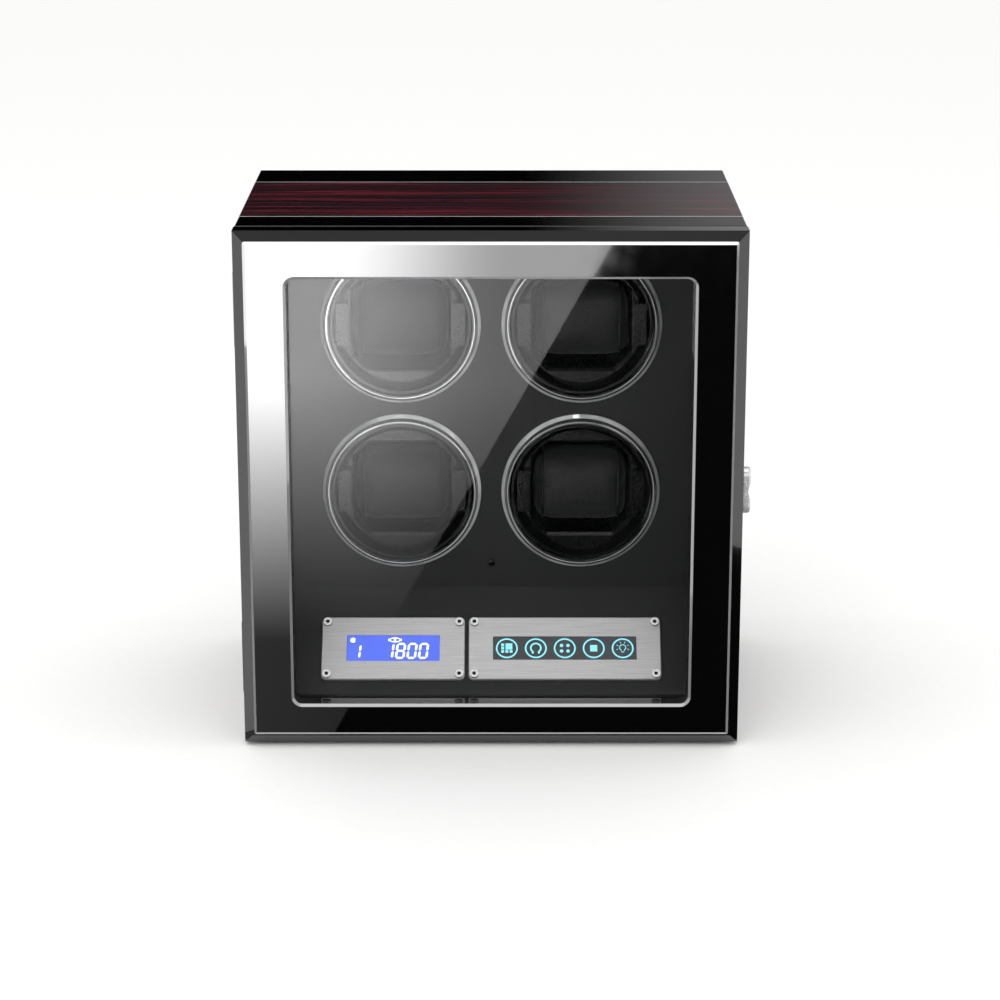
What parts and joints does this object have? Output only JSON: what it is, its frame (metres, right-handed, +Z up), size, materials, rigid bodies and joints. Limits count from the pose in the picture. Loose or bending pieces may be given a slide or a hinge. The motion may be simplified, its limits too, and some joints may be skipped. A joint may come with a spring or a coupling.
{
  "type": "watch winder box",
  "caption": "Lacquered cabinet with a glazed door that holds wrist-watches on pillows in motor-driven turning cups, with a sloped console carrying a display and touch keys.",
  "frame": {"origin": "centre of the cabinet and door outline at the underside of the base pad", "axes": "+X to the right seen from the front, +Y from the door to the back, +Z up"},
  "size_m": [0.3061, 0.21, 0.318],
  "materials": {
    "lacquer": "gloss black lacquer on fibreboard",
    "back_black": "matt black paint",
    "veneer": "gloss lacquered striped veneer",
    "inlay_metal": "polished",
    "felt": "felt",
    "inner_wood": "raw fibreboard",
    "panel_black": "matt black",
    "brushed_plate": "brushed",
    "display": "lit display",
    "touch_face": "smoked touch panel",
    "screw_steel": "plated",
    "circuit": "solder mask",
    "spacer": "nylon",
    "diffuser": "frosted",
    "sensor": "dark lens",
    "inlet": "moulded",
    "magnet": "plated",
    "hinge_steel": "plated",
    "pane": "clear",
    "pull_chrome": "polished",
    "acrylic": "polished clear acrylic",
    "cup_black": "moulded",
    "shaft_steel": "turned",
    "motor": "zinc plated",
    "pillow": "black leatherette",
    "lead": "insulated lead"
  },
  "bodies": {
    "cabinet": {"top_board": "lacquer", "bottom_board": "lacquer", "left_side_board": "lacquer", "right_side_board": "lacquer", "back_panel": "back_black", "veneer_band_top": "veneer", "veneer_band_left": "veneer", "veneer_band_right": "veneer", "inlay_lines": "inlay_metal", "base_pad": "felt", "panel_battens": "inner_wood", "motor_board": "inner_wood", "rotor_panel": "panel_black", "console_panel": "panel_black", "display_plate": "brushed_plate", "touch_plate": "brushed_plate", "led_channel": "brushed_plate", "display_module": "display", "touch_panel": "touch_face", "plate_screws": "screw_steel", "back_panel_screws": "screw_steel", "motor_screws": "screw_steel", "control_board": "circuit", "driver_board": "circuit", "board_standoffs": "spacer", "led_diffuser": "diffuser", "ir_receiver": "sensor", "dc_jack": "inlet", "door_magnets": "magnet", "hinge_cabinet_leaves": "hinge_steel", "hinge_pins": "hinge_steel", "hinge_screws_cabinet": "hinge_steel", "motor_leads": "lead", "clear_ring_upper_left": "acrylic", "gearmotor_upper_left": "motor", "clear_ring_upper_right": "acrylic", "gearmotor_upper_right": "motor", "clear_ring_lower_left": "acrylic", "gearmotor_lower_left": "motor", "clear_ring_lower_right": "acrylic", "gearmotor_lower_right": "motor"},
    "door": {"door_frame": "lacquer", "door_glass": "pane", "glass_beads": "lacquer", "hinge_door_leaves": "hinge_steel", "strike_plates": "magnet", "door_pull": "pull_chrome", "hinge_screws_door": "hinge_steel"},
    "rotor_upper_left": {"rotor_cup_upper_left": "cup_black", "rotor_shaft_upper_left": "shaft_steel"},
    "cushion_upper_left": {"pillow_upper_left": "pillow"},
    "rotor_upper_right": {"rotor_cup_upper_right": "cup_black", "rotor_shaft_upper_right": "shaft_steel"},
    "cushion_upper_right": {"pillow_upper_right": "pillow"},
    "rotor_lower_left": {"rotor_cup_lower_left": "cup_black", "rotor_shaft_lower_left": "shaft_steel"},
    "cushion_lower_left": {"pillow_lower_left": "pillow"},
    "rotor_lower_right": {"rotor_cup_lower_right": "cup_black", "rotor_shaft_lower_right": "shaft_steel"},
    "cushion_lower_right": {"pillow_lower_right": "pillow"}
  },
  "joints": [
    {"name": "door_swing", "type": "hinge", "parent": "cabinet", "child": "door", "pos_m": [-0.1494, -0.0866, 0.16], "axis": [0, 0, -1], "range_deg": [0, 110]},
    {"name": "rotor_upper_left_spin", "type": "hinge", "parent": "cabinet", "child": "rotor_upper_left", "pos_m": [-0.05525, -0.03, 0.2465], "axis": [0, -1, 0], "continuous": true},
    {"name": "rotor_upper_right_spin", "type": "hinge", "parent": "cabinet", "child": "rotor_upper_right", "pos_m": [0.05525, -0.03, 0.2465], "axis": [0, -1, 0], "continuous": true},
    {"name": "rotor_lower_left_spin", "type": "hinge", "parent": "cabinet", "child": "rotor_lower_left", "pos_m": [-0.05525, -0.03, 0.141], "axis": [0, -1, 0], "continuous": true},
    {"name": "rotor_lower_right_spin", "type": "hinge", "parent": "cabinet", "child": "rotor_lower_right", "pos_m": [0.05525, -0.03, 0.141], "axis": [0, -1, 0], "continuous": true},
    {"name": "cushion_upper_left_pull", "type": "slide", "parent": "rotor_upper_left", "child": "cushion_upper_left", "axis": [0, -1, 0], "range_m": [0, 0.046]},
    {"name": "cushion_upper_right_pull", "type": "slide", "parent": "rotor_upper_right", "child": "cushion_upper_right", "axis": [0, -1, 0], "range_m": [0, 0.046]},
    {"name": "cushion_lower_left_pull", "type": "slide", "parent": "rotor_lower_left", "child": "cushion_lower_left", "axis": [0, -1, 0], "range_m": [0, 0.046]},
    {"name": "cushion_lower_right_pull", "type": "slide", "parent": "rotor_lower_right", "child": "cushion_lower_right", "axis": [0, -1, 0], "range_m": [0, 0.046]}
  ]
}
